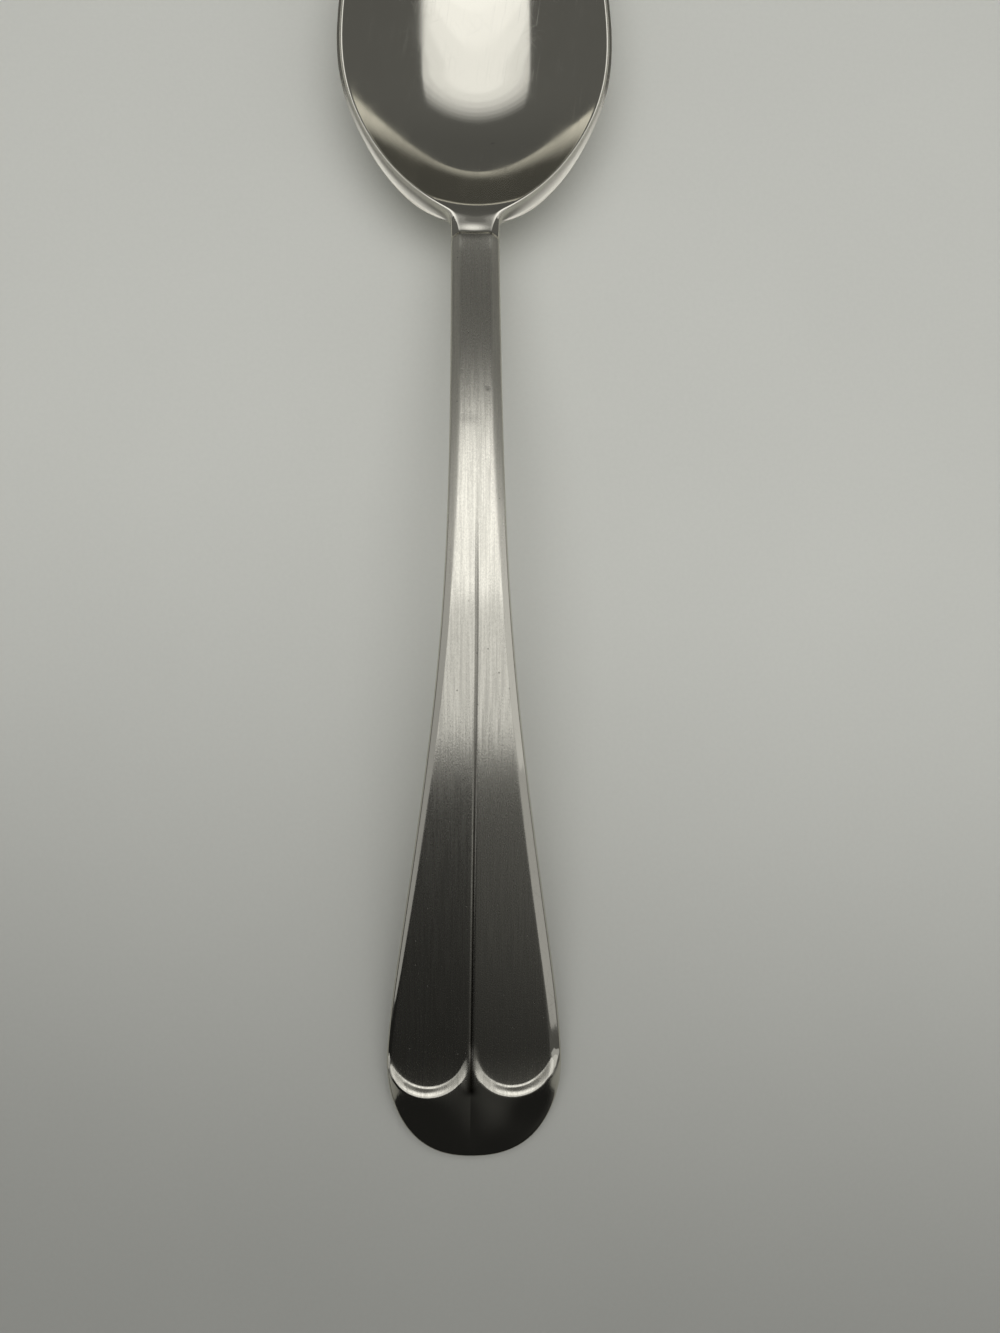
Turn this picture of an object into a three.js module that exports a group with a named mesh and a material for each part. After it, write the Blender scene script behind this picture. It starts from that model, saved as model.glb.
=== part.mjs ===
// Teaspoon: one piece of stainless steel, cut, rolled, pressed and struck from a single blank.
// Millimetres, +Z up. The spoon lies on z = 0 with its handle's end at -Y and its bowl's tip at +Y.
// It is a bent sheet: the upper face is a height over the plan outline, the underside is that face
// moved inwards by the metal's thickness, and a loft runs through closed sections along the length.

import * as THREE from "three";
import { LoftGeometry } from "three/addons/geometries/LoftGeometry.js";

const { degToRad, lerp, smoothstep, smootherstep } = THREE.MathUtils;

// Plan outline
const OVERALL_LENGTH = 152;
const BOWL_WIDTH = 30.85;
const BOWL_TIP_LENGTH = 25.6; // from the bowl's widest place to its tip
const BOWL_SHOULDER_LENGTH = 20.3; // from the bowl's widest place to where its shoulders would meet
const SHOULDER_LEANNESS = 1.33; // 1 draws the shoulders as half an ellipse, more is leaner
const BOWL_BLEND = 13; // half length over which the tip's curve passes into the shoulders' curve
const SHOULDER_FILLET = 0.6; // softness of the corner between a shoulder and the stem
const STEM_WIDTH = 5.35;
const HANDLE_WIDTH = 20.1;
const HANDLE_END_LENGTH = 13; // from the handle's widest place to its end
const HANDLE_END_FULLNESS = 2.4; // 2 closes the end in half an ellipse, more is squarer
const FLARE_LENGTH = 48.6; // from the start of the flare to the handle's widest place
const FLARE_EASE = 9.5; // softness of the bend where the stem starts to flare
const BROAD_EASE = 0.55; // softness of the bend where the flare ends

// Side view: heights of the upper face over the table
const REST_LENGTH = 5; // length at the handle's end that lies level
const SWEEP_HEIGHT = 4;
const SWEEP_FROM_END = 14;
const SLOPE_HEIGHT = 12.7;
const SLOPE_FROM_END = 47;
const ARCH_HEIGHT = 15.5;
const ARCH_FROM_END = 65;
const STEM_HEIGHT = 13;
const STEM_FROM_END = 86;
const NECK_HEIGHT = 8.35;
const NECK_FROM_TIP = 47.4; // where the satin handle face stops
const SHOULDER_HEIGHT = 7.5; // of the rim a little past the neck
const SHOULDER_PAST_NECK = 6;
const RIM_HEIGHT = 7.6; // at the bowl's widest place
const TIP_HEIGHT = 8;
const BOWL_FLATNESS = 1.3; // 1 presses the bowl's length as a parabola, more flattens its floor

// Metal
const HANDLE_THICKNESS = 2.3;
const BOWL_WALL = 1;
const THINNING_LENGTH = 14; // from the neck to where the bowl has its own wall
const UNDER_CROWN = 0.25; // how much the handle's underside rounds up at its edges
const EDGE_ROUND_TOP = 0.25;
const EDGE_ROUND_UNDER = 0.45;
const RIM_ROUND = 0.3;
const FOOT_CUT = 0.08; // depth worn flat where the spoon touches the table

// Pattern struck into the handle's upper face
const PATTERN_START_FROM_END = 79;
const PATTERN_FULL_FROM_END = 62;
const PANEL_LEAN = degToRad(3); // each panel falls away from the centre line
const PANEL_RIDGE = 0.25; // softness of the ridge between the panels
const BEVEL_WIDTH = 0.95;
const STEM_BEVEL_WIDTH = 0.6;
const BEVEL_ANGLE = degToRad(25);
const CREASE_SOFTNESS = 0.1;
const GROOVE_WIDTH = 0.36;
const GROOVE_DEPTH = 0.14;
const LOBE_RADIUS = 4.2;
const LOBE_SPACING = 10; // between the centres of the two lobes
const LOBE_FROM_END = 12.7;
const LOBE_WALL = 1.1; // width of the scooped wall round a lobe
const LOBE_RISE = 0.6;
const LOBE_FADE = 2.8; // length over which the wall grows from nothing
const CUSP_LENGTH = 1.8; // how much sooner the walls start and later they end to grow at the centre line
const CUSP_WIDTH = 1.2;
const END_DROP = 1.4; // how far the end domes down from the top of the walls
const STRIKE_OFFSET = 0.4; // the die sits this far off the middle at the lobes
const NECK_STEP = 0.2;
const NECK_STEP_WIDTH = 0.5;
const NECK_CORNER = 0.6; // how far the satin face's corners round back
const NECK_SQUARENESS = 6; // 2 rounds the satin face's end evenly, more keeps its middle straight
const NECK_HOLLOW_LENGTH = 10; // length over which the bowl deepens and the step runs out
const BEVEL_RUN_OUT = 5; // length past the neck over which the bevels end

// Fineness of the mesh
const END_RUN = 6; // length at each end where the sections close up
const END_SECTIONS = 12;
const CLOSE_STEP = 0.42; // between sections round the lobes and through the neck
const WIDE_STEP = 2; // between sections along the handle
const BOWL_STEP = 1.7;
const LOBE_RUN = 3; // length before the lobes with close sections
const NECK_RUN_IN = 2;
const NECK_RUN_OUT = 4;
const TOP_STEPS = 8; // from a bevel to the centre line
const UNDER_STEPS = 4;
const CROWDING = 0.4; // how much the places across a section crowd towards its middle
const UNDER_MIDDLE = 0.65; // half width of the middle strip of the underside
const NARROW = 2.4; // half width under which the places across a section close up
const SLOPE_STEP = 0.02; // length over which slopes are measured

// Places along the length
const endY = -OVERALL_LENGTH / 2;
const tipY = OVERALL_LENGTH / 2;
const widestY = tipY - BOWL_TIP_LENGTH;
const neckY = tipY - NECK_FROM_TIP;
const broadY = endY + HANDLE_END_LENGTH;
const flareY = broadY + FLARE_LENGTH;
const lobeY = endY + LOBE_FROM_END;
const shoulderY = (neckY + widestY) / 2;

// A bend of softness k: 0 well below zero, u well above it
const softRamp = (u, k) => k * Math.log1p(Math.exp(u / k));
const softMax = (a, b, k) => b + softRamp(a - b, k);
const softMin = (a, b, k) => a - softRamp(a - b, k);

// Natural cubic spline through [place, value] stations, smooth to the second derivative
function spline(stations) {
  const n = stations.length;
  const x = stations.map((s) => s[0]);
  const z = stations.map((s) => s[1]);
  const bend = new Array(n).fill(0);
  const ratio = new Array(n).fill(0);
  for (let i = 1; i < n - 1; i++) {
    const before = x[i] - x[i - 1];
    const after = x[i + 1] - x[i];
    const turn = 6 * ((z[i + 1] - z[i]) / after - (z[i] - z[i - 1]) / before);
    const pivot = 2 * (before + after) - before * ratio[i - 1];
    ratio[i] = after / pivot;
    bend[i] = (turn - before * bend[i - 1]) / pivot;
  }
  for (let i = n - 2; i > 0; i--) bend[i] -= ratio[i] * bend[i + 1];
  return (at) => {
    let i = 0;
    while (i < n - 2 && at > x[i + 1]) i++;
    const span = x[i + 1] - x[i];
    const p = (x[i + 1] - at) / span;
    const q = (at - x[i]) / span;
    const curve = (p ** 3 - p) * bend[i] + (q ** 3 - q) * bend[i + 1];
    return p * z[i] + q * z[i + 1] + (curve * span * span) / 6;
  };
}

// The rim's cut face leans outwards, so the sheet's own edge lies inside the plan outline by this much
const nominalDepth = RIM_HEIGHT - BOWL_WALL;
const rimLean = (run) => BOWL_WALL * Math.sin(Math.atan((2 * nominalDepth) / run));
const bowlHalf = BOWL_WIDTH / 2 - rimLean(BOWL_WIDTH / 2);
const bowlTip = BOWL_TIP_LENGTH - rimLean(BOWL_TIP_LENGTH / BOWL_FLATNESS);
const bowlShoulder = BOWL_SHOULDER_LENGTH - rimLean(BOWL_SHOULDER_LENGTH / BOWL_FLATNESS);
const sheetTipY = widestY + bowlTip;

// Half width of the bowl: an ellipse to the tip and leaner shoulders to the neck, blended at the widest place
function bowlOutline(y) {
  const tip = Math.max(0, 1 - ((y - widestY) / bowlTip) ** 2);
  const shoulder = Math.max(0, 1 - ((y - widestY) / bowlShoulder) ** 2) ** SHOULDER_LEANNESS;
  const towardsTip = smootherstep(y, widestY - BOWL_BLEND, widestY + BOWL_BLEND);
  return bowlHalf * Math.sqrt(lerp(shoulder, tip, towardsTip));
}

// Half width of the handle: a stem that flares to the broad end, which closes in a full round
function handleOutline(y) {
  const broad = HANDLE_WIDTH / 2 + BROAD_EASE * Math.LN2;
  const flare = (broad - STEM_WIDTH / 2) / FLARE_LENGTH;
  const flank = STEM_WIDTH / 2 + flare * softRamp(flareY - y, FLARE_EASE);
  const past = Math.min(1, Math.max(0, broadY - y) / HANDLE_END_LENGTH);
  const round = (1 - past ** HANDLE_END_FULLNESS) ** (1 / HANDLE_END_FULLNESS);
  const withinBowl = smoothstep(y, shoulderY, widestY);
  return softMin(flank, broad, BROAD_EASE) * round * (1 - withinBowl);
}

const halfWidth = (y) => softMax(bowlOutline(y), handleOutline(y), SHOULDER_FILLET);

// Distance of a point in plan from the outline, exact close to it: (w^2 - x^2) over its own gradient
function fromEdge(x, y) {
  const before = Math.max(endY, y - SLOPE_STEP);
  const after = Math.min(sheetTipY, y + SLOPE_STEP);
  const square = halfWidth(y) ** 2;
  const growth = (halfWidth(after) ** 2 - halfWidth(before) ** 2) / (after - before);
  return Math.max(0, square - x * x) / Math.hypot(2 * x, growth, SLOPE_STEP);
}

const towardsBowl = (y) => smoothstep(y, neckY, neckY + NECK_HOLLOW_LENGTH);
const thickness = (y) => lerp(HANDLE_THICKNESS, BOWL_WALL, smoothstep(y, neckY, neckY + THINNING_LENGTH));

// The upper face's middle line and rim, seen from the side
const levelHeight = HANDLE_THICKNESS - FOOT_CUT;
const spine = spline([
  [endY, levelHeight],
  [endY + REST_LENGTH, levelHeight],
  [endY + SWEEP_FROM_END, SWEEP_HEIGHT],
  [endY + SLOPE_FROM_END, SLOPE_HEIGHT],
  [endY + ARCH_FROM_END, ARCH_HEIGHT],
  [endY + STEM_FROM_END, STEM_HEIGHT],
  [neckY, NECK_HEIGHT],
  [neckY + SHOULDER_PAST_NECK, SHOULDER_HEIGHT],
  [widestY, RIM_HEIGHT],
  [tipY, TIP_HEIGHT],
]);

// The bowl is pressed until its underside meets the table
function pressShape(x, y) {
  const half = halfWidth(y);
  const full = Math.min(1, (half / bowlHalf) ** 2 * towardsBowl(y));
  return (1 - (1 - full) ** BOWL_FLATNESS) * Math.max(0, 1 - (x / half) ** 2);
}
let pressDepth = Infinity;
for (let y = shoulderY; y < tipY - END_RUN; y += SLOPE_STEP) {
  pressDepth = Math.min(pressDepth, (spine(y) - thickness(y) + FOOT_CUT) / pressShape(0, y));
}

// Upper face of the plain pressed sheet, and its upward normal
const sheet = (x, y) => spine(y) - pressDepth * pressShape(x, y);
function sheetNormal(x, y) {
  const before = Math.max(endY, y - SLOPE_STEP);
  const after = Math.min(sheetTipY, y + SLOPE_STEP);
  const slopeX = (sheet(x + SLOPE_STEP, y) - sheet(x - SLOPE_STEP, y)) / (2 * SLOPE_STEP);
  const slopeY = (sheet(x, after) - sheet(x, before)) / (after - before);
  return new THREE.Vector3(-slopeX, -slopeY, 1).normalize();
}

// The struck pattern
const patternAt = (y) => 1 - smoothstep(y, endY + PATTERN_FULL_FROM_END, endY + PATTERN_START_FROM_END);
const patternMiddle = (y) => (-STRIKE_OFFSET * Math.max(0, flareY - y)) / (flareY - lobeY);
const bevelWidth = (y) => lerp(STEM_BEVEL_WIDTH, BEVEL_WIDTH, patternAt(y));

// Distance past a crease, 0 before it, with the crease's own softness
const creased = (past) => 0.5 * (past + Math.hypot(past, CREASE_SOFTNESS));

// Height that the pattern adds to the sheet's upper face: two leaning panels with a centre line between
// them, bevels along the edges, a scooped wall round each lobe, and a domed end outside the lobes
function pattern(x, y) {
  const across = Math.abs(x - patternMiddle(y));
  const edge = fromEdge(x, y);
  const lobe = Math.hypot(across - LOBE_SPACING / 2, Math.min(0, y - lobeY)) - LOBE_RADIUS;
  const cusp = CUSP_LENGTH * Math.exp(-((across / CUSP_WIDTH) ** 2));
  const atEnd = 1 - smoothstep(y, lobeY - LOBE_FADE - cusp, lobeY + cusp);
  const pastBevel = bevelWidth(y) - edge;
  const beyondBevel = creased(pastBevel);
  const beyondLobe = creased(Math.max(lobe, pastBevel));
  const wall = atEnd * (1 - (1 - Math.min(1, beyondLobe / LOBE_WALL)) ** 2);
  const bevelDrop = (bevelWidth(y) * Math.tan(BEVEL_ANGLE) * beyondBevel) / (beyondBevel + edge);
  const endDrop = END_DROP * (beyondLobe / (beyondLobe + edge)) ** 2;
  const ridge = Math.hypot(across, PANEL_RIDGE) - PANEL_RIDGE;
  const lean = Math.tan(PANEL_LEAN) * ridge * patternAt(y) * (1 - wall);
  const groove = GROOVE_DEPTH * Math.exp(-((2 * across / GROOVE_WIDTH) ** 2)) * patternAt(y) * (1 - atEnd);
  return LOBE_RISE * wall - lerp(bevelDrop, endDrop, atEnd) - lean - groove;
}

// Height of the small step where the satin face stops, which runs out in the bowl
function neckStep(x, y) {
  const line = neckY - NECK_CORNER * Math.min(1, Math.abs(x) / (STEM_WIDTH / 2)) ** NECK_SQUARENESS;
  const runOut = 1 - smoothstep(y, neckY + NECK_STEP_WIDTH, neckY + NECK_HOLLOW_LENGTH);
  return -NECK_STEP * smoothstep(y, line, line + NECK_STEP_WIDTH) * runOut;
}

const relief = (x, y) => pattern(x, y) * (1 - smoothstep(y, neckY, neckY + BEVEL_RUN_OUT)) + neckStep(x, y);

// How deep a rounded edge of radius r lies below the face at a distance from the outline
const roundOff = (edge, r) => (edge < r ? r - Math.sqrt(r * r - (r - edge) ** 2) : 0);

function topPoint(x, y) {
  const round = lerp(EDGE_ROUND_TOP, RIM_ROUND, towardsBowl(y));
  const depth = roundOff(fromEdge(x, y), round) - relief(x, y);
  return new THREE.Vector3(x, y, sheet(x, y)).addScaledVector(sheetNormal(x, y), -depth);
}

function underPoint(x, y) {
  const round = lerp(EDGE_ROUND_UNDER, RIM_ROUND, towardsBowl(y));
  const crown = UNDER_CROWN * (x / halfWidth(y)) ** 2 * (1 - towardsBowl(y));
  const depth = thickness(y) - crown - roundOff(fromEdge(x, y), round);
  const point = new THREE.Vector3(x, y, sheet(x, y)).addScaledVector(sheetNormal(x, y), -depth);
  point.z = Math.max(0, point.z);
  return point;
}

// Places across a section, from the outline inwards over its rounded edge and then on to the middle
const ARC = [0, 30, 60, 90].map((angle) => 1 - Math.cos(degToRad(angle)));

function across(y, insets, inner, steps) {
  const half = halfWidth(y);
  const fit = Math.min(1, half / NARROW);
  const middle = patternMiddle(y) * fit;
  const oneSide = (sign) => {
    const edge = insets.map((inset) => sign * (half - inset * fit));
    const from = edge[edge.length - 1];
    const to = middle + sign * inner * fit;
    const inwards = (t) => lerp(from, to, t + CROWDING * t * (1 - t));
    return edge.concat(Array.from({ length: steps }, (_, i) => inwards((i + 1) / steps)));
  };
  return [...oneSide(-1), middle, ...oneSide(1).reverse()];
}

const topInsets = (y) => [
  ...ARC.map((a) => a * EDGE_ROUND_TOP),
  bevelWidth(y) - CREASE_SOFTNESS,
  bevelWidth(y) + CREASE_SOFTNESS,
];
const underInsets = ARC.map((a) => a * EDGE_ROUND_UNDER);
const topAcross = (y) => across(y, topInsets(y), GROOVE_WIDTH / 2, TOP_STEPS);
const underAcross = (y) => across(y, underInsets, UNDER_MIDDLE, UNDER_STEPS);

// Sections near the lobes swing towards the end, so that they follow the two round walls
function swing(x, y) {
  const near = Math.max(0, 1 - Math.abs(y - lobeY) / LOBE_FROM_END);
  const out = (Math.abs(x - patternMiddle(y)) - LOBE_SPACING / 2) / (LOBE_RADIUS + LOBE_WALL / 2);
  const arc = Math.max(0, 1 - (out ** 2 + out ** 6) / 2);
  return LOBE_RADIUS * arc * Math.sin((near * Math.PI) / 2) ** 2;
}

function section(y) {
  const top = topAcross(y).map((x, i) => {
    const swung = y - swing(x, y);
    return topPoint(topAcross(swung)[i], swung);
  });
  const under = underAcross(y).map((x) => underPoint(x, y));
  return [...top, ...under.reverse()];
}

// Places of the sections: close together at both ends, round the lobes and through the neck
function run(from, to, step) {
  const length = Math.ceil((to - from) / step);
  return Array.from({ length }, (_, i) => lerp(from, to, i / length));
}
function runIn(end, to) {
  return Array.from({ length: END_SECTIONS }, (_, i) => lerp(end, to, (i / END_SECTIONS) ** 2));
}
const places = [
  ...runIn(endY, endY + END_RUN),
  ...run(endY + END_RUN, lobeY + LOBE_RUN, CLOSE_STEP),
  ...run(lobeY + LOBE_RUN, neckY - NECK_RUN_IN, WIDE_STEP),
  ...run(neckY - NECK_RUN_IN, neckY + NECK_RUN_OUT, CLOSE_STEP),
  ...run(neckY + NECK_RUN_OUT, sheetTipY - END_RUN, BOWL_STEP),
  ...runIn(sheetTipY, sheetTipY - END_RUN).reverse(),
];

// Both ends close on the middle of their last section
function closed(ring) {
  const middle = ring.reduce((sum, point) => sum.add(point), new THREE.Vector3()).divideScalar(ring.length);
  return ring.map(() => middle);
}

const rings = places.map(section);
const geometry = new LoftGeometry([closed(rings[0]), ...rings, closed(rings[rings.length - 1])]);
geometry.computeBoundingBox();
const box = geometry.boundingBox;
geometry.translate(0, -(box.min.y + box.max.y) / 2, -box.min.z);

const steel = new THREE.MeshStandardMaterial({ color: 0xb4b2aa, metalness: 1, roughness: 0.32 });
const teaspoon = new THREE.Mesh(geometry, steel);
teaspoon.name = "teaspoon";

const spoon = new THREE.Group();
spoon.add(teaspoon);

export default spoon;
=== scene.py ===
"""Looks of the teaspoon: one piece of stainless steel, satin on the handle's upper face, polished elsewhere.

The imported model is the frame. The spoon's skin is worked out again on a finer grid from the same kind of
driving sizes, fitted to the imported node's box, and stands for that node. Sizes are in millimetres until the
mesh is made, and in metres for the finishes, the table, the lamps and the camera.
"""

import math

import bpy
import numpy as np
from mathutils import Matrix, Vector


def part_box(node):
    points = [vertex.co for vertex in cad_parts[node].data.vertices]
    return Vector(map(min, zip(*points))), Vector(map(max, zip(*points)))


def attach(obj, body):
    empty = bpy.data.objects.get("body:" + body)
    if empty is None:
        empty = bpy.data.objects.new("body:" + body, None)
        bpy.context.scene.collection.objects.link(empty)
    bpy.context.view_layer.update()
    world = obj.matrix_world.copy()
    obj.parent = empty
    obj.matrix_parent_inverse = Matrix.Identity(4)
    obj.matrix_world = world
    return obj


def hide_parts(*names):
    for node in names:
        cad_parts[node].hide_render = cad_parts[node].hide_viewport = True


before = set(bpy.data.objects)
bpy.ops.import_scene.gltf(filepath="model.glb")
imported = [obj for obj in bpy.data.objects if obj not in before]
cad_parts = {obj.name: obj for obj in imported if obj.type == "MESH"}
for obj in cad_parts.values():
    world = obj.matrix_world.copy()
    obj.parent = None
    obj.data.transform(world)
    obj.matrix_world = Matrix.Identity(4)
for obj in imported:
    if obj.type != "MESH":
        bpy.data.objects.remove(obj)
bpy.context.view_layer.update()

# Plan outline
OVERALL_LENGTH = 152
BOWL_WIDTH = 30.85
BOWL_TIP_LENGTH = 25.6
BOWL_SHOULDER_LENGTH = 20.3
SHOULDER_LEANNESS = 1.33
BOWL_BLEND = 13
SHOULDER_FILLET = 0.6
STEM_WIDTH = 5.35
HANDLE_WIDTH = 20.1
HANDLE_END_LENGTH = 13
HANDLE_END_FULLNESS = 2.4
FLARE_LENGTH = 48.6
FLARE_EASE = 9.5
BROAD_EASE = 0.55

# Side view: heights of the upper face over the table
REST_LENGTH = 5
SWEEP_HEIGHT, SWEEP_FROM_END = 4, 14
SLOPE_HEIGHT, SLOPE_FROM_END = 12.7, 47
ARCH_HEIGHT, ARCH_FROM_END = 15.5, 65
STEM_HEIGHT, STEM_FROM_END = 13, 86
NECK_HEIGHT, NECK_FROM_TIP = 8.35, 47.4
SHOULDER_HEIGHT, SHOULDER_PAST_NECK = 7.5, 6
RIM_HEIGHT, TIP_HEIGHT = 7.6, 8
BOWL_FLATNESS = 1.3

# Metal
HANDLE_THICKNESS = 2.3
BOWL_WALL = 1
THINNING_LENGTH = 14
UNDER_CROWN = 0.25
EDGE_ROUND_TOP = 0.25
EDGE_ROUND_UNDER = 0.45
RIM_ROUND = 0.19
FOOT_CUT = 0.08

# Pattern struck into the handle's upper face
PATTERN_START_FROM_END = 79
PATTERN_FULL_FROM_END = 62
PANEL_LEAN = math.radians(3)
PANEL_RIDGE = 0.25
BEVEL_WIDTH = 0.95
STEM_BEVEL_WIDTH = 1.15
BEVEL_ANGLE = math.radians(25)
CREASE_SOFTNESS = 0.1
STEM_CREASE_SOFTNESS = 0.4
GROOVE_WIDTH = 0.3
GROOVE_DEPTH = 0.14
LOBE_RADIUS = 4.2
LOBE_SPACING = 10
LOBE_FROM_END = 12.7
LOBE_WALL = 0.95
LOBE_RISE = 0.6
LOBE_FADE = 2.8
CUSP_LENGTH = 1.8
CUSP_WIDTH = 1.2
END_DROP = 1.4
END_ROUNDNESS = 1.6
STRIKE_OFFSET = 0.4
NECK_STEP = 0.2
NECK_STEP_WIDTH = 0.5
NECK_CORNER = 0.6
NECK_SQUARENESS = 6
NECK_HOLLOW_LENGTH = 5.5
NECK_DIP = 0.09
NECK_DIP_LENGTH = 0.55
NECK_DIP_WIDTH = 1.5
NECK_DIP_ASIDE = -0.3
BEVEL_RUN_OUT = 4

# Stain and painted shade in the centre line and between the lobes
CUSP_STAIN_AND_SHADE = 0.7  # half width of the stain and painted shade between the lobes
STAIN_AND_SHADE_AT_START = 0.5
STAIN_AND_SHADE_DEEPENS = (-40, -18)  # full at the first place along the length, as at the start at the second

# Borders of the finishes, as distances from the panels, the neck line or the outline
SATIN_EDGE = 0.12
SATIN_FADE = 2.6
NECK_LINE_BLUR = 0.1
DULL_FROM, DULL_FULL = -0.6, 0.3
DULL_UNDER = 3 * RIM_ROUND
EDGE_DULLNESS = 2  # of the cut edge, over that of the stem's bevels

# Grid
SLOPE_STEP = 0.02  # length over which slopes are measured
NARROW = 2.4  # half width under which the places across a section close up
ROUND_STEPS = 7  # columns round an edge
BEVEL_STEPS = 5  # columns across a bevel
CREASE_REACH = 3  # columns on each side of a crease, one crease softness apart
CROWDING = 0.6  # how far the columns of a panel crowd towards its inner side
TOP_STEPS, TOP_LINE_STEPS, TOP_LINE_HALF = 40, 5, 0.75 * GROOVE_WIDTH
UNDER_STEPS, UNDER_LINE_STEPS, UNDER_LINE_HALF = 12, 2, 0.65
CLOSING_LENGTH, CLOSING_SECTIONS = 6, 45
PAST_LOBES, LOBE_SECTIONS = 4, 120
BEFORE_NECK, HANDLE_SECTIONS = 2, 120
PAST_NECK, NECK_SECTIONS = 5, 80
BOWL_SECTIONS = 110

# Places along the length
END_Y = -OVERALL_LENGTH / 2
TIP_Y = OVERALL_LENGTH / 2
WIDEST_Y = TIP_Y - BOWL_TIP_LENGTH
NECK_Y = TIP_Y - NECK_FROM_TIP
BROAD_Y = END_Y + HANDLE_END_LENGTH
FLARE_Y = BROAD_Y + FLARE_LENGTH
LOBE_Y = END_Y + LOBE_FROM_END
SHOULDER_Y = (NECK_Y + WIDEST_Y) / 2


def mix(a, b, share):
    """a at share 0, b at share 1."""
    return a + (b - a) * share


def ease(u, low, high):
    """0 below low, 1 above high, and the cubic 3t^2 - 2t^3 between them."""
    t = np.clip((u - low) / (high - low), 0, 1)
    return t * t * (3 - 2 * t)


def ease_fully(u, low, high):
    """As ease, with the quintic 6t^5 - 15t^4 + 10t^3, which also starts and ends without a bend."""
    t = np.clip((u - low) / (high - low), 0, 1)
    return t**3 * (t * (6 * t - 15) + 10)


def soft_ramp(u, k):
    """k log(1 + e^(u/k)): a bend of softness k, 0 well below zero and u well above it."""
    return k * np.logaddexp(0, u / k)


def soft_max(a, b, k):
    """The larger of two values, rounded where they cross: b and a soft ramp of what a has over it."""
    return b + soft_ramp(a - b, k)


def soft_min(a, b, k):
    """The smaller of two values, rounded where they cross: a less a soft ramp of what it has over b."""
    return a - soft_ramp(a - b, k)


def through(stations):
    """Natural cubic spline through (place, value) stations: its second derivatives solve one linear
    system."""
    at, value = np.array(sorted(stations), float).T
    gap = np.diff(at)
    system = np.eye(len(at))
    turn = np.zeros(len(at))
    inner = np.arange(1, len(at) - 1)
    system[inner, inner - 1] = gap[:-1]
    system[inner, inner] = 2 * (gap[:-1] + gap[1:])
    system[inner, inner + 1] = gap[1:]
    turn[inner] = 6 * (np.diff(value)[1:] / gap[1:] - np.diff(value)[:-1] / gap[:-1])
    bend = np.linalg.solve(system, turn)

    def curve(y):
        """The line between the two stations beside y, bowed by their second derivatives."""
        i = np.clip(np.searchsorted(at, y) - 1, 0, len(gap) - 1)
        p = (at[i + 1] - y) / gap[i]
        q = (y - at[i]) / gap[i]
        bow = (p**3 - p) * bend[i] + (q**3 - q) * bend[i + 1]
        return p * value[i] + q * value[i + 1] + bow * gap[i] ** 2 / 6

    return curve


LEVEL_HEIGHT = HANDLE_THICKNESS - FOOT_CUT
spine = through([
    (END_Y, LEVEL_HEIGHT),
    (END_Y + REST_LENGTH, LEVEL_HEIGHT),
    (END_Y + SWEEP_FROM_END, SWEEP_HEIGHT),
    (END_Y + SLOPE_FROM_END, SLOPE_HEIGHT),
    (END_Y + ARCH_FROM_END, ARCH_HEIGHT),
    (END_Y + STEM_FROM_END, STEM_HEIGHT),
    (NECK_Y, NECK_HEIGHT),
    (NECK_Y + SHOULDER_PAST_NECK, SHOULDER_HEIGHT),
    (WIDEST_Y, RIM_HEIGHT),
    (TIP_Y, TIP_HEIGHT),
])


def rim_lean(run):
    """How far the sheet's edge lies inside the plan outline, because the rim's cut face leans outwards: the
    sine of the slope of a parabola of that run."""
    return BOWL_WALL * math.sin(math.atan(2 * (RIM_HEIGHT - BOWL_WALL) / run))


BOWL_HALF = BOWL_WIDTH / 2 - rim_lean(BOWL_WIDTH / 2)
BOWL_TIP = BOWL_TIP_LENGTH - rim_lean(BOWL_TIP_LENGTH / BOWL_FLATNESS)
BOWL_SHOULDER = BOWL_SHOULDER_LENGTH - rim_lean(BOWL_SHOULDER_LENGTH / BOWL_FLATNESS)
SHEET_TIP_Y = WIDEST_Y + BOWL_TIP


def half_width(y):
    """Half width of the blank: the larger of the bowl's outline, half an ellipse to the tip and leaner
    towards the neck, and the handle's, a stem that flares to a broad end closed by a superellipse."""
    tip = np.maximum(0, 1 - ((y - WIDEST_Y) / BOWL_TIP) ** 2)
    shoulder = np.maximum(0, 1 - ((y - WIDEST_Y) / BOWL_SHOULDER) ** 2) ** SHOULDER_LEANNESS
    to_tip = ease_fully(y, WIDEST_Y - BOWL_BLEND, WIDEST_Y + BOWL_BLEND)
    bowl = BOWL_HALF * np.sqrt(mix(shoulder, tip, to_tip))
    broad = HANDLE_WIDTH / 2 + BROAD_EASE * math.log(2)
    flare = (broad - STEM_WIDTH / 2) / FLARE_LENGTH
    flank = STEM_WIDTH / 2 + flare * soft_ramp(FLARE_Y - y, FLARE_EASE)
    past = np.clip((BROAD_Y - y) / HANDLE_END_LENGTH, 0, 1)
    end = (1 - past**HANDLE_END_FULLNESS) ** (1 / HANDLE_END_FULLNESS)
    handle = soft_min(flank, broad, BROAD_EASE) * end * (1 - ease(y, SHOULDER_Y, WIDEST_Y))
    return soft_max(bowl, handle, SHOULDER_FILLET)


def from_edge(x, y):
    """Distance in plan from the outline: (w^2 - x^2) over the length of its own gradient."""
    before = np.maximum(END_Y, y - SLOPE_STEP)
    after = np.minimum(SHEET_TIP_Y, y + SLOPE_STEP)
    growth = (half_width(after) ** 2 - half_width(before) ** 2) / (after - before)
    return np.maximum(0, half_width(y) ** 2 - x * x) / np.sqrt(4 * x * x + growth**2 + SLOPE_STEP**2)


def towards_bowl(y):
    """0 up to the neck, 1 in the bowl, eased over the hollow's length."""
    return ease(y, NECK_Y, NECK_Y + NECK_HOLLOW_LENGTH)


def thickness(y):
    """The handle's thickness up to the neck, eased down to the bowl's wall past it."""
    return mix(HANDLE_THICKNESS, BOWL_WALL, ease(y, NECK_Y, NECK_Y + THINNING_LENGTH))


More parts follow.
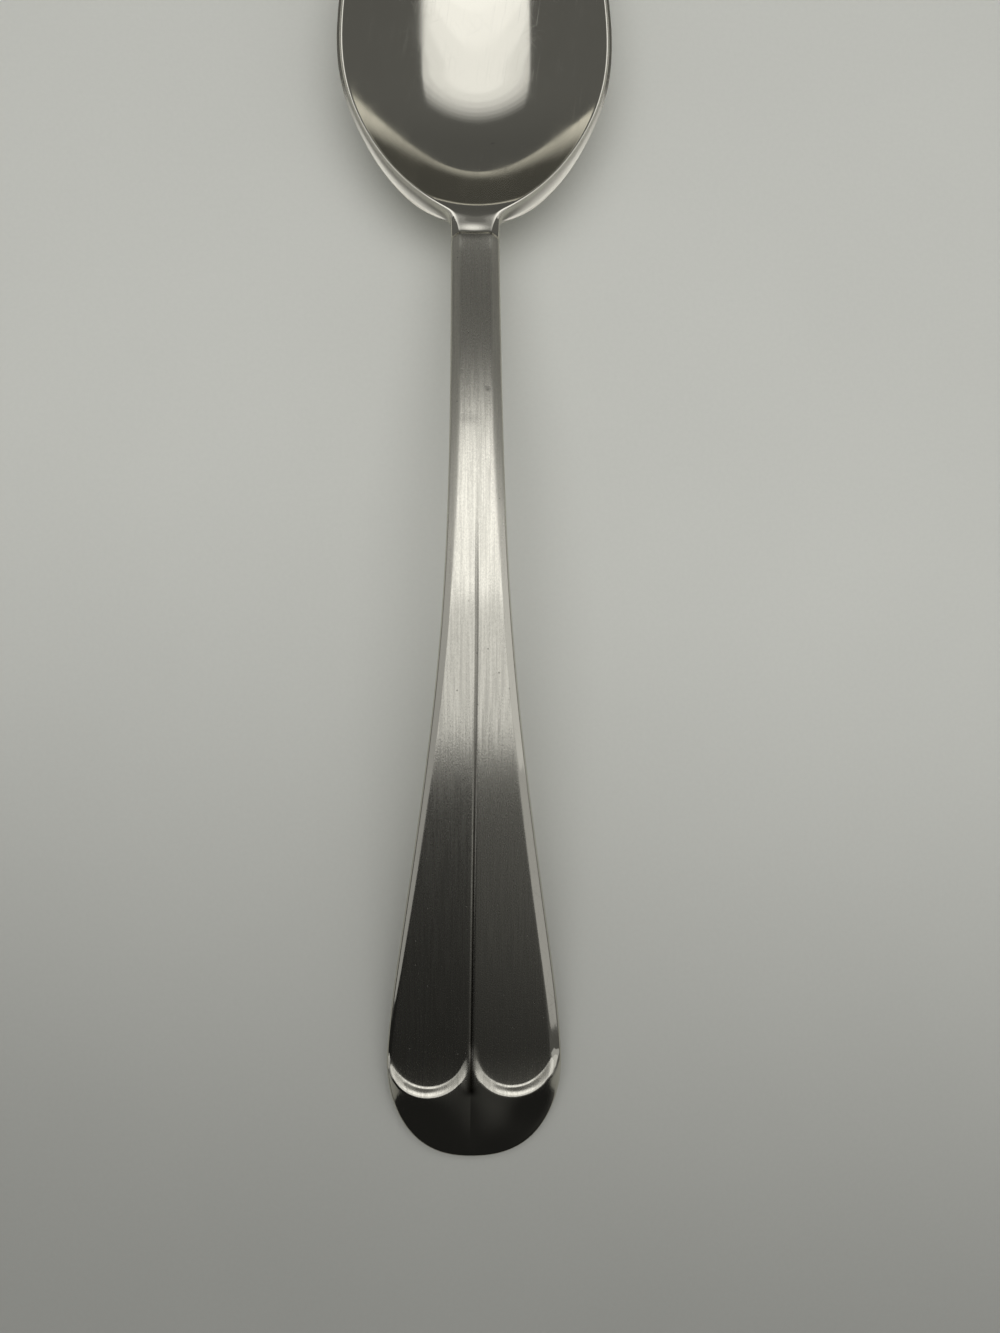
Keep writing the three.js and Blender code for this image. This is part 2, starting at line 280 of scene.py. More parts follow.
def press_shape(x, y):
    """1 at the middle of the bowl's widest place, 0 at the rim: across, a parabola; along, 1 - (1 - u)^k,
    where u falls with the square of the width and k over 1 flattens the floor."""
    half = half_width(y)
    full = np.minimum(1, (half / BOWL_HALF) ** 2 * towards_bowl(y))
    return (1 - (1 - full) ** BOWL_FLATNESS) * np.maximum(0, 1 - (x / half) ** 2)


def press_depth():
    """The depth at which the pressed bowl's underside just meets the table."""
    y = np.arange(SHOULDER_Y, TIP_Y - CLOSING_LENGTH, SLOPE_STEP)
    return np.min((spine(y) - thickness(y) + FOOT_CUT) / press_shape(0, y))


PRESS_DEPTH = press_depth()


def sheet(x, y):
    """Upper face of the plain pressed sheet: the side view's curve less the press."""
    return spine(y) - PRESS_DEPTH * press_shape(x, y)


def sheet_normal(x, y):
    """The sheet's unit normal: minus its slopes across and along, and 1, over their length."""
    before = np.maximum(END_Y, y - SLOPE_STEP)
    after = np.minimum(SHEET_TIP_Y, y + SLOPE_STEP)
    slope_x = (sheet(x + SLOPE_STEP, y) - sheet(x - SLOPE_STEP, y)) / (2 * SLOPE_STEP)
    slope_y = (sheet(x, after) - sheet(x, before)) / (after - before)
    normal = np.stack([-slope_x, -slope_y, np.ones_like(slope_x)], -1)
    return normal / np.linalg.norm(normal, axis=-1, keepdims=True)


def pattern_at(y):
    """How far the pattern has come up: 1 on the flared handle, eased to 0 on the stem."""
    return 1 - ease(y, END_Y + PATTERN_FULL_FROM_END, END_Y + PATTERN_START_FROM_END)


def pattern_middle(y):
    """Where the pattern's centre line lies: a straight line that leaves the middle at the flare's start."""
    return -STRIKE_OFFSET * np.maximum(0, FLARE_Y - y) / (FLARE_Y - LOBE_Y)


def bevel_width(y, side):
    """Width of the bevel on one side, -1 or 1: the stem's mixed with the handle's, less what the pattern is
    struck off the middle on that side."""
    return mix(STEM_BEVEL_WIDTH, BEVEL_WIDTH, pattern_at(y)) - side * pattern_middle(y)


def bevel_left(x, y):
    """What is left of the bevel's width, which eases to nothing past the neck."""
    return bevel_width(y, np.sign(x)) * (1 - ease(y, NECK_Y, NECK_Y + BEVEL_RUN_OUT))


def creased(past, softness):
    """The distance past a crease, 0 before it, as a hyperbola: the mean of the distance and its hypotenuse
    with the softness."""
    return (past + np.hypot(past, softness)) / 2


def struck(x, y):
    """The struck pattern: its height over the sheet, how far a point lies past the panels, and how far the
    end's forms have grown there. Two panels lean away from the line, which is a bell-shaped groove, and the
    bevels fall to the outline with the share of the way past their crease. At the end a wall that rises as
    1 - (1 - t)^2 goes round each lobe, and past it the end falls with a power of the share of the way."""
    aside = np.abs(x - pattern_middle(y))
    edge = from_edge(x, y)
    lobe = np.hypot(aside - LOBE_SPACING / 2, np.minimum(0, y - LOBE_Y)) - LOBE_RADIUS
    cusp = CUSP_LENGTH * np.exp(-((aside / CUSP_WIDTH) ** 2))
    at_end = 1 - ease(y, LOBE_Y - LOBE_FADE - cusp, LOBE_Y + cusp)
    past_bevel = bevel_left(x, y) - edge
    past_lobe = np.maximum(lobe, past_bevel)
    on_stem = (1 - pattern_at(y)) * (1 - ease(y, NECK_Y - BEFORE_NECK, NECK_Y))
    beyond_bevel = creased(past_bevel, mix(CREASE_SOFTNESS, STEM_CREASE_SOFTNESS, on_stem))
    beyond_lobe = creased(past_lobe, CREASE_SOFTNESS)
    wall = at_end * (1 - (1 - np.minimum(1, beyond_lobe / LOBE_WALL)) ** 2)
    bevel_drop = bevel_left(x, y) * math.tan(BEVEL_ANGLE) * beyond_bevel / (beyond_bevel + edge)
    end_drop = END_DROP * (beyond_lobe / (beyond_lobe + edge)) ** END_ROUNDNESS
    ridge = np.hypot(aside, PANEL_RIDGE) - PANEL_RIDGE
    lean = math.tan(PANEL_LEAN) * ridge * pattern_at(y) * (1 - wall)
    groove = GROOVE_DEPTH * np.exp(-((2 * aside / GROOVE_WIDTH) ** 2)) * pattern_at(y) * (1 - at_end)
    height = LOBE_RISE * wall - mix(bevel_drop, end_drop, at_end) - lean - groove
    return height, mix(past_bevel, past_lobe, at_end), at_end


def stained_and_shaded(x, y):
    """How dark the centre line is painted, partly a stain and partly painted shade in the groove: a bell
    across, as wide as the line, that deepens towards the lobes, spreads between them as painted shade and
    ends below them."""
    spread = mix(CUSP_STAIN_AND_SHADE, GROOVE_WIDTH / 2, ease(y, LOBE_Y - LOBE_RADIUS, LOBE_Y))
    below = ease(y, LOBE_Y - LOBE_RADIUS - LOBE_WALL, LOBE_Y - LOBE_RADIUS)
    deep = mix(1, STAIN_AND_SHADE_AT_START, ease(y, *STAIN_AND_SHADE_DEEPENS))
    return deep * np.exp(-(((x - pattern_middle(y)) / spread) ** 2)) * pattern_at(y) * below


def neck_line(x):
    """Where the satin face stops: straight across, less a high power of the place across, which rounds the
    corners back."""
    return NECK_Y - NECK_CORNER * np.minimum(1, np.abs(x) / (STEM_WIDTH / 2)) ** NECK_SQUARENESS


def relief(x, y):
    """Height over the sheet: the pattern, less the step eased down at the neck line, which runs out in the
    hollow, less a bell-shaped dip under the step."""
    height, _, _ = struck(x, y)
    line = neck_line(x)
    run_out = 1 - ease(y, NECK_Y + NECK_STEP_WIDTH, NECK_Y + NECK_HOLLOW_LENGTH)
    step = -NECK_STEP * ease(y, line, line + NECK_STEP_WIDTH) * run_out
    along = (y - line - NECK_STEP_WIDTH) / NECK_DIP_LENGTH
    aside = (x - NECK_DIP_ASIDE) / NECK_DIP_WIDTH
    return height + step - NECK_DIP * np.exp(-(along**2) - aside**2)


def round_off(edge, radius):
    """How deep a rounded edge lies under the face: a quarter circle of the radius."""
    return np.where(edge < radius, radius - np.sqrt(np.maximum(0, radius**2 - (radius - edge) ** 2)), 0)


def moved_in(x, y, depth):
    """The sheet's points, moved by depth against its normal."""
    return np.stack([x, y, sheet(x, y)], -1) - depth[..., None] * sheet_normal(x, y)


def upper_face(x, y):
    """The sheet lowered by its rounded edge and raised by the relief."""
    radius = mix(EDGE_ROUND_TOP, RIM_ROUND, towards_bowl(y))
    return moved_in(x, y, round_off(from_edge(x, y), radius) - relief(x, y))


def under_face(x, y):
    """The sheet lowered by its thickness, less a crown that grows with the square of the place across and
    less the rounded edge, and cut flat where it would lie under the table."""
    radius = mix(EDGE_ROUND_UNDER, RIM_ROUND, towards_bowl(y))
    crown = UNDER_CROWN * (x / half_width(y)) ** 2 * (1 - towards_bowl(y))
    points = moved_in(x, y, thickness(y) - crown - round_off(from_edge(x, y), radius))
    points[..., 2] = np.maximum(0, points[..., 2])
    return points


def dull_edge(x, y, reach):
    """How dull the cut edge is round the bowl's shoulder: most at the outline, eased to nothing at a reach
    inside."""
    on_shoulder = ease(y, NECK_Y, NECK_Y + BEVEL_RUN_OUT) * (1 - ease(y, SHOULDER_Y, WIDEST_Y))
    return EDGE_DULLNESS * on_shoulder * (1 - ease(from_edge(x, y), 0, reach))


def half_columns(round_radius, on_crease, steps, line_steps):
    """Places from an edge to the middle, each as (plain inset, share of the bevel's width, share of the way
    from the last inset to the middle line, share of the line's half width)."""
    arc = round_radius * (1 - np.cos(np.linspace(0, math.pi / 2, ROUND_STEPS)))
    rows = [(a, 0, 0, 0) for a in arc]
    if on_crease:
        gap = round_radius + CREASE_REACH * CREASE_SOFTNESS
        rows += [(round_radius - s * gap, s, 0, 0) for s in np.linspace(1 / BEVEL_STEPS, 1, BEVEL_STEPS)]
        rows += [(k * CREASE_SOFTNESS, 1, 0, 0) for k in range(1 - CREASE_REACH, 1 + CREASE_REACH)]
    last = rows[-1]
    t = np.linspace(0, 1, steps + 1)[1:]
    rows += [(last[0], last[1], s + CROWDING * s * (1 - s), 1) for s in t]
    rows += [(last[0], last[1], 1, g) for g in np.linspace(1, 0, line_steps + 1)[1:-1]]
    return np.array(rows, float)


def columns(half_rows, line_half):
    """All columns of one face from its left edge over the middle to its right edge, and how to place them at
    y."""
    left = np.column_stack([-np.ones(len(half_rows)), half_rows])
    right = np.column_stack([np.ones(len(half_rows)), half_rows])[::-1]
    side, inset, of_bevel, inwards, of_line = np.vstack([left, [[0, 0, 0, 1, 0]], right]).T

    def place(y):
        """Each column's place across: inset from its edge, then in its share towards the centre line."""
        half = half_width(y)
        fit = np.minimum(1, half / NARROW)
        outer = side * (half - (inset + of_bevel * bevel_width(y, side)) * fit)
        return mix(outer, pattern_middle(y) * fit + side * of_line * line_half * fit, inwards)

    return len(side), place


def swing(x, y):
    """How far a section bends towards the end, so that sections near the lobes follow their round walls:
    across, 1 - (u^2 + u^6) / 2 from each lobe's middle; along, the square of a sine that fades away from the
    lobes."""
    near = np.maximum(0, 1 - np.abs(y - LOBE_Y) / LOBE_FROM_END)
    out = (np.abs(x - pattern_middle(y)) - LOBE_SPACING / 2) / (LOBE_RADIUS + LOBE_WALL / 2)
    arc = np.maximum(0, 1 - (out**2 + out**6) / 2)
    return LOBE_RADIUS * arc * np.sin(near * math.pi / 2) ** 2


def section_places():
    """Places of the sections along the length: closing up with the square of their number at both ends, and
    evenly spaced between, closer round the lobes and through the neck."""
    closing = np.linspace(0, 1, CLOSING_SECTIONS, endpoint=False) ** 2 * CLOSING_LENGTH
    runs = [
        (END_Y + CLOSING_LENGTH, LOBE_Y + PAST_LOBES, LOBE_SECTIONS),
        (LOBE_Y + PAST_LOBES, NECK_Y - BEFORE_NECK, HANDLE_SECTIONS),
        (NECK_Y - BEFORE_NECK, NECK_Y + PAST_NECK, NECK_SECTIONS),
        (NECK_Y + PAST_NECK, SHEET_TIP_Y - CLOSING_LENGTH, BOWL_SECTIONS),
    ]
    between = [np.linspace(start, stop, count, endpoint=False) for start, stop, count in runs]
    return np.concatenate([END_Y + closing, *between, (SHEET_TIP_Y - closing)[::-1]])


def spoon_skin():
    """The whole skin as a grid of closed sections: upper face from left to right, then underside back.
    Returns the points and, for each, how far it is satin, dull, or stained and painted with shade, and its
    place in plan."""
    y = section_places()[:, None]
    top_half = half_columns(EDGE_ROUND_TOP, True, TOP_STEPS, TOP_LINE_STEPS)
    under_half = half_columns(EDGE_ROUND_UNDER, False, UNDER_STEPS, UNDER_LINE_STEPS)
    n_top, top_place = columns(top_half, TOP_LINE_HALF)
    n_under, under_place = columns(under_half, UNDER_LINE_HALF)
    flat_x = top_place(np.broadcast_to(y, (len(y), n_top)))
    top_y = y - swing(flat_x, y)
    top_x = top_place(top_y)
    under_y = np.broadcast_to(y, (len(y), n_under))
    under_x = under_place(under_y)
    points = np.concatenate([upper_face(top_x, top_y), under_face(under_x, under_y)[:, ::-1]], 1)
    _, past_panel, at_end = struck(top_x, top_y)
    on_stem = 1 - pattern_at(top_y)
    satin_ends = mix(SATIN_EDGE, SATIN_FADE, np.maximum(at_end, on_stem))
    on_panel = 1 - ease(past_panel, -SATIN_EDGE, satin_ends)
    line = neck_line(top_x)
    on_handle = 1 - ease(top_y, line - NECK_LINE_BLUR, line + NECK_LINE_BLUR)
    on_stem_bevel = ease(past_panel, DULL_FROM, DULL_FULL) * on_stem * on_handle
    blank = np.zeros_like(under_x)
    satin = np.concatenate([on_panel * on_handle, blank], 1)
    dull_top = np.maximum(on_stem_bevel, dull_edge(top_x, top_y, RIM_ROUND))
    dull_under = dull_edge(under_x, under_y, DULL_UNDER)
    dull = np.concatenate([dull_top, dull_under[:, ::-1]], 1)
    # stain and painted shade along the centre line and between the lobes
    stain_and_shade = np.concatenate([stained_and_shaded(top_x, top_y), blank], 1)
    plan = np.concatenate([np.stack([top_x, top_y], -1), np.stack([under_x, under_y], -1)[:, ::-1]], 1)
    return points, {"satin": satin, "dull": dull, "stain_and_shade": stain_and_shade}, plan


def grid_faces(rows, ring):
    """Quads of a closed ring carried along its rows, facing out, with a fan over each end."""
    row, column = np.meshgrid(np.arange(rows - 1), np.arange(ring), indexing="ij")
    here = row * ring + column
    beside = row * ring + (column + 1) % ring
    quads = np.stack([here, beside, beside + ring, here + ring], -1).reshape(-1, 4)
    turn = np.arange(ring)
    onward = (turn + 1) % ring
    first = np.stack([np.full(ring, rows * ring), onward, turn], -1)
    last_row = (rows - 1) * ring
    last = np.stack([np.full(ring, rows * ring + 1), last_row + turn, last_row + onward], -1)
    return quads, np.concatenate([first, last])


def add_attribute(mesh, name, values):
    """One number for each point of a mesh, kept under a name."""
    attribute = mesh.attributes.new(name, "FLOAT", "POINT")
    attribute.data.foreach_set("value", np.ascontiguousarray(values, np.float32))


def make_spoon():
    """The skin in metres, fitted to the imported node's box, with its masks and its plan as a UV map."""
    points, masks, plan = spoon_skin()
    rows, ring, _ = points.shape
    ends = points[[0, -1]].mean(axis=1)
    spots = np.concatenate([points.reshape(-1, 3), ends])
    low, high = (np.array(corner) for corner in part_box("teaspoon"))
    own_low, own_high = spots.min(axis=0), spots.max(axis=0)
    spots = low + (spots - own_low) * (high - low) / (own_high - own_low)
    quads, fans = grid_faces(rows, ring)
    mesh = bpy.data.meshes.new("teaspoon_skin")
    mesh.from_pydata(spots.tolist(), [], quads.tolist() + fans.tolist())
    mesh.shade_smooth()
    for name, mask in masks.items():
        add_attribute(mesh, name, np.append(mask.ravel(), [0, 0]))
    corner = np.zeros(len(mesh.loops), np.int32)
    mesh.loops.foreach_get("vertex_index", corner)
    flat = np.concatenate([plan.reshape(-1, 2), plan[[0, -1]].mean(axis=1)]) / OVERALL_LENGTH + 0.5
    grain = mesh.uv_layers.new(name="grain")
    grain.uv.foreach_set("vector", flat[corner].astype(np.float32).ravel())
    skin = bpy.data.objects.new("teaspoon_skin", mesh)
    bpy.context.scene.collection.objects.link(skin)
    return skin


def add_node(tree, kind, values=None, feeds=None, **settings):
    """A node of a kind in a tree, with its settings, the values of its inputs and what feeds its inputs."""
    node = tree.nodes.new("ShaderNode" + kind)
    for name, value in settings.items():
        setattr(node, name, value)
    for socket, value in (values or {}).items():
        node.inputs[socket].default_value = value
    for socket, source in (feeds or {}).items():
        tree.links.new(source, node.inputs[socket])
    return node


def feed(tree, socket, term):
    """Sets a socket to a number, or links it to an output."""
    if isinstance(term, (int, float)):
        socket.default_value = term
    else:
        tree.links.new(term, socket)


def math_node(tree, operation, first, second):
    """One step of arithmetic on two outputs or numbers."""
    node = add_node(tree, "Math", operation=operation)
    feed(tree, node.inputs[0], first)
    feed(tree, node.inputs[1], second)
    return node.outputs["Value"]


def ranged(tree, value, low, high, to_low=0, to_high=1):
    """A smooth step of a value from low to high, put out between two other values."""
    ends = {"From Min": low, "From Max": high, "To Min": to_low, "To Max": to_high}
    step = add_node(tree, "MapRange", ends, {"Value": value}, interpolation_type="SMOOTHSTEP")
    return step.outputs["Result"]


def blended(tree, share, first, second):
    """first where the share is 0, second where it is 1, and between them in proportion."""
    node = add_node(tree, "Mix", feeds={"Factor": share})
    feed(tree, node.inputs["A"], first)
    feed(tree, node.inputs["B"], second)
    return node.outputs["Result"]


def tinted(tree, colour, tone):
    """A colour times a tone."""
    return add_node(tree, "VectorMath", {0: colour}, {"Scale": tone}, operation="SCALE").outputs["Vector"]


def effect(name, inputs):
    """An empty node group with named inputs and one output called Mask."""
    group = bpy.data.node_groups.new(name, "ShaderNodeTree")
    for socket, default in inputs.items():
        kind = "NodeSocketVector" if isinstance(default, tuple) else "NodeSocketFloat"
        group.interface.new_socket(socket, in_out="INPUT", socket_type=kind).default_value = default
    group.interface.new_socket("Mask", in_out="OUTPUT", socket_type="NodeSocketFloat")
    return group, group.nodes.new("NodeGroupInput").outputs, group.nodes.new("NodeGroupOutput").inputs["Mask"]


HALF = 0.5  # also the middle of a noise
HIGHEST_RIDGE = 0.8  # a noise's height that few ridges pass
RIDGE_DROP = 0.3  # how far that height comes down for a full share of scratches
RIDGE_EDGE = 0.05
MARK_RAGGEDNESS = 7000  # noise grains to the metre
MARK_OUTSIDE, MARK_INSIDE = 1.3, 0.6


def grain_group():
    """Noise whose grains have a given size along each axis: its distance from the middle times a contrast."""
    group, given, mask = effect("grain", {"Point": (0, 0, 0), "Size": (1, 1, 1), "Contrast": 1.0})
    cell = add_node(group, "VectorMath", feeds={0: given["Point"], 1: given["Size"]}, operation="DIVIDE")
    noise = add_node(group, "TexNoise", {"Scale": 1, "Detail": 3}, {"Vector": cell.outputs["Vector"]})
    from_middle = math_node(group, "SUBTRACT", noise.outputs["Fac"], HALF)
    apart = math_node(group, "MULTIPLY", from_middle, given["Contrast"])
    group.links.new(math_node(group, "ADD", apart, HALF), mask)
    return group


def hairline_group():
    """Sparse fine scratches in one direction: the highest ridges of a noise drawn out to long thin grains."""
    group, given, mask = effect(
        "hairlines", {"Point": (0, 0, 0), "Turn": 0.0, "Length": 0.006, "Width": 0.00005, "Share": 0.3}
    )
    offset = {"Vector": given["Point"], "Angle": given["Turn"]}
    turned = add_node(group, "VectorRotate", feeds=offset, rotation_type="Z_AXIS")
    size = add_node(group, "CombineXYZ", {"Z": 1}, {"X": given["Width"], "Y": given["Length"]})
    terms = {0: turned.outputs["Vector"], 1: size.outputs["Vector"]}
    cell = add_node(group, "VectorMath", feeds=terms, operation="DIVIDE")
    noise = add_node(group, "TexNoise", {"Scale": 1, "Detail": 1}, {"Vector": cell.outputs["Vector"]})
    drop = math_node(group, "MULTIPLY", given["Share"], RIDGE_DROP)
    least = math_node(group, "SUBTRACT", HIGHEST_RIDGE, drop)
    over = math_node(group, "SUBTRACT", noise.outputs["Fac"], least)
    group.links.new(ranged(group, over, 0, RIDGE_EDGE), mask)
    return group


def pit_group():
    """Small round specks: the cores of cells scattered at random, on a share of the cells."""
    group, given, mask = effect("pits", {"Point": (0, 0, 0), "Spacing": 0.001, "Core": 0.2, "Share": 0.5})
    scale = math_node(group, "DIVIDE", 1, given["Spacing"])
    cells = add_node(group, "TexVoronoi", feeds={"Vector": given["Point"], "Scale": scale})
    core = math_node(group, "LESS_THAN", cells.outputs["Distance"], given["Core"])
    chance = add_node(group, "SeparateColor", feeds={"Color": cells.outputs["Color"]})
    chosen = math_node(group, "LESS_THAN", chance.outputs["Red"], given["Share"])
    group.links.new(math_node(group, "MULTIPLY", core, chosen), mask)
    return group


def mark_group():
    """One scuff at a place: a smooth step down with the distance from it, in reaches, made ragged by
    noise."""
    group, given, mask = effect(
        "mark", {"Point": (0, 0, 0), "Place": (0, 0, 0), "Reach": (0.001, 0.001, 0.001), "Turn": 0.0}
    )
    aside = add_node(group, "VectorMath", feeds={0: given["Point"], 1: given["Place"]}, operation="SUBTRACT")
    offset = {"Vector": aside.outputs["Vector"], "Angle": given["Turn"]}
    turned = add_node(group, "VectorRotate", feeds=offset, rotation_type="Z_AXIS")
    terms = {0: turned.outputs["Vector"], 1: given["Reach"]}
    inside = add_node(group, "VectorMath", feeds=terms, operation="DIVIDE")
    away = add_node(group, "VectorMath", feeds={0: inside.outputs["Vector"]}, operation="LENGTH")
    noise = add_node(group, "TexNoise", {"Scale": MARK_RAGGEDNESS, "Detail": 2}, {"Vector": given["Point"]})
    ragged = math_node(group, "ADD", away.outputs["Value"], noise.outputs["Fac"])
    group.links.new(ranged(group, ragged, MARK_OUTSIDE, MARK_INSIDE), mask)
    return group


GRAIN = grain_group()
HAIRLINES = hairline_group()
PITS = pit_group()
MARK = mark_group()


def new_material(name):
    """A material with one shader, its node tree, and the output that gives a point on the piece."""
    material = bpy.data.materials.new(name)
    material.use_nodes = True
    tree = material.node_tree
    tree.nodes.clear()
    shader = add_node(tree, "BsdfPrincipled")
    add_node(tree, "OutputMaterial", feeds={"Surface": shader.outputs["BSDF"]})
    return material, tree, shader, add_node(tree, "TexCoord").outputs["Object"]


def masked(tree, group, point, **values):
    """A group's mask at a point, with the group's other inputs set by name."""
    node = add_node(tree, "Group", node_tree=group)
    tree.links.new(point, node.inputs["Point"])
    for name, value in values.items():
        node.inputs[name.title()].default_value = value
    return node.outputs["Mask"]


def attribute(tree, name):
    """The number kept for each point of the mesh under a name."""
    return add_node(tree, "Attribute", attribute_name=name).outputs["Fac"]


def most(tree, masks):
    """The largest of several masks."""
    whole = masks[0]
    for mask in masks[1:]:
        whole = math_node(tree, "MAXIMUM", whole, mask)
    return whole


def faded(tree, mask, share):
    """1 less a share of a mask: what is left of a colour under it."""
    return math_node(tree, "SUBTRACT", 1, math_node(tree, "MULTIPLY", mask, share))


STEEL_COLOUR = (0.62, 0.602, 0.535)
STAIN_AND_SHADE_COLOUR = (0.05, 0.045, 0.035, 1)
BRUSH_SPAN = (0.2, 0.8)  # part of the brush noise that the tones and the roughness are spread over
SATIN_TONES = (0.82, 1.08)
SATIN_ROUGHNESS = (0.3, 0.22)
SMUDGE_SPAN = (0.3, 0.8)
POLISHED_ROUGHNESS = (0.06, 0.12)
MARKED_ROUGHNESS = 0.12  # added by scratches and scuffs
DULL_ROUGHNESS = 0.16  # added on the stem's bevels, and more of it on the cut edge
PIT_SHADE, SCRATCH_SHADE, SCUFF_SHADE = 0.55, 0.06, 0.45  # share of the light that each takes
BRUSH_DEPTH = 6e-6  # metres
MARK_DEPTH = 0.8  # of scuffs and pits, over that of the brush lines
GRAIN_STRETCH = 0.8
HAIR_SCRATCHES = ((0.15, 0.006, 0.45), (1.1, 0.004, 0.35), (-0.7, 0.005, 0.35))  # turn, length and share
HAIR_WIDTH = 0.00006
SCUFFS = (  # place, reach, turn and depth
    ((-0.0035, -0.0206, 0.0125), (0.0004, 0.0004, 0.002), 0.4, 1),
    ((0.0036, -0.0587, 0.0036), (0.0030, 0.00012, 0.002), 0.12, 1),
    ((-0.0006, -0.0385, 0.0092), (0.0005, 0.0012, 0.002), 0.1, 1),
    ((0.0012, 0.0105, 0.0128), (0.0007, 0.0005, 0.002), 0.5, 0.8),
    ((-0.0007, 0.0071, 0.0136), (0.0021, 0.0013, 0.002), 0.2, 0.45),
    ((0.0006, 0.0444, 0.0022), (0.0004, 0.00015, 0.002), 0.3, 1),
    ((0.0021, 0.0420, 0.0024), (0.0006, 0.00015, 0.002), -0.3, 1),
)


def steel():
    """Satin where the mask says, with lengthwise brush lines, fine speckle and pits; polished elsewhere, with
    hair scratches and smudges; both darkened by the stain and painted shade in the centre line and between
    the lobes, and by a few scuffs."""
    material, tree, shader, point = new_material("teaspoon_steel")
    satin = attribute(tree, "satin")
    brush = masked(tree, GRAIN, point, size=(0.00022, 0.009, 0.002), contrast=2.2)
    speckle = masked(tree, GRAIN, point, size=(0.00013, 0.0002, 0.002), contrast=1.5)
    smudge = masked(tree, GRAIN, point, size=(0.004, 0.007, 0.01), contrast=1.3)
    specks = masked(tree, PITS, point, spacing=0.0011, core=0.075, share=0.3)
    pits = math_node(tree, "MULTIPLY", satin, specks)
    scratches = most(tree, [
        masked(tree, HAIRLINES, point, turn=turn, length=length, width=HAIR_WIDTH, share=share)
        for turn, length, share in HAIR_SCRATCHES
    ])
    scuffs = most(tree, [
        math_node(tree, "MULTIPLY", masked(tree, MARK, point, place=place, reach=reach, turn=turn), depth)
        for place, reach, turn, depth in SCUFFS
    ])

    brushed = math_node(tree, "MULTIPLY", math_node(tree, "ADD", brush, speckle), HALF)
    satin_tone = ranged(tree, brushed, *BRUSH_SPAN, *SATIN_TONES)
    tone = blended(tree, satin, 1, satin_tone)
    for mask, share in ((pits, PIT_SHADE), (scratches, SCRATCH_SHADE), (scuffs, SCUFF_SHADE)):
        tone = math_node(tree, "MULTIPLY", tone, faded(tree, mask, share))
    clean = tinted(tree, STEEL_COLOUR, tone)
    # the stain colour also paints shade into the centre line and between the lobes
    colours = {0: attribute(tree, "stain_and_shade"), 6: clean}  # sockets 6 and 7 take the two colours of a Mix node
    colour = add_node(tree, "Mix", {7: STAIN_AND_SHADE_COLOUR}, colours, data_type="RGBA").outputs[2]
    tree.links.new(colour, shader.inputs["Base Color"])

    smudged = ranged(tree, smudge, *SMUDGE_SPAN, *POLISHED_ROUGHNESS)
    marked = math_node(tree, "MULTIPLY", most(tree, [scratches, scuffs]), MARKED_ROUGHNESS)
    polished_rough = math_node(tree, "ADD", smudged, marked)
    satin_rough = ranged(tree, brushed, *BRUSH_SPAN, *SATIN_ROUGHNESS)
    rough = blended(tree, satin, polished_rough, satin_rough)
    dulled = math_node(tree, "MULTIPLY", attribute(tree, "dull"), DULL_ROUGHNESS)
    tree.links.new(math_node(tree, "ADD", rough, dulled), shader.inputs["Roughness"])

    lines = math_node(tree, "MULTIPLY", satin, brushed)
    marks = math_node(tree, "MULTIPLY", most(tree, [scuffs, pits]), MARK_DEPTH)
    height = math_node(tree, "SUBTRACT", lines, marks)
    bumps = add_node(tree, "Bump", {"Strength": 1, "Distance": BRUSH_DEPTH}, {"Height": height})
    tree.links.new(bumps.outputs["Normal"], shader.inputs["Normal"])

    across = add_node(tree, "Tangent", direction_type="UV_MAP", uv_map="grain")
    tree.links.new(across.outputs["Tangent"], shader.inputs["Tangent"])
    shader.inputs["Metallic"].default_value = 1
    shader.inputs["Anisotropic"].default_value = GRAIN_STRETCH
    return material


TABLE_HALF = 1.5  # metres
TABLE_COLOUR = (0.75, 0.755, 0.7)
TABLE_ROUGHNESS = 0.6
TABLE_PAINTED_SHADOW_ALONG = (0.16, 1, 0)
TABLE_PAINTED_SHADOW_SPAN = (-0.105, 0.005)  # from full colour at the second place to the painted shadow's tone at the first
TABLE_PAINTED_SHADOW_TONE = 0.55


def table():
    """A pale matt table, faintly mottled, with a painted shadow: its tone steps down smoothly towards its
    near side.
    """
    material, tree, shader, point = new_material("pale_table")
    cloud = masked(tree, GRAIN, point, size=(0.03, 0.03, 0.03), contrast=0.06)
    tooth = masked(tree, GRAIN, point, size=(0.0005, 0.0005, 0.0005), contrast=0.05)
    along = add_node(tree, "VectorMath", {1: TABLE_PAINTED_SHADOW_ALONG}, {0: point}, operation="DOT_PRODUCT")
    # painted shadow: the table's colour darkens towards its near side
    near = ranged(tree, along.outputs["Value"], *TABLE_PAINTED_SHADOW_SPAN, TABLE_PAINTED_SHADOW_TONE, 1)
    tone = math_node(tree, "MULTIPLY", near, math_node(tree, "ADD", cloud, tooth))
    tree.links.new(tinted(tree, TABLE_COLOUR, tone), shader.inputs["Base Color"])
    shader.inputs["Roughness"].default_value = TABLE_ROUGHNESS
    return material


def make_table():
    """One square at the height of the table, about the middle of the frame."""
    mesh = bpy.data.meshes.new("table")
    corners = [(x * TABLE_HALF, y * TABLE_HALF, 0) for x, y in ((-1, -1), (1, -1), (1, 1), (-1, 1))]
    mesh.from_pydata(corners, [], [(0, 1, 2, 3)])
    mesh.materials.append(table())
    top = bpy.data.objects.new("table", mesh)
    bpy.context.scene.collection.objects.link(top)


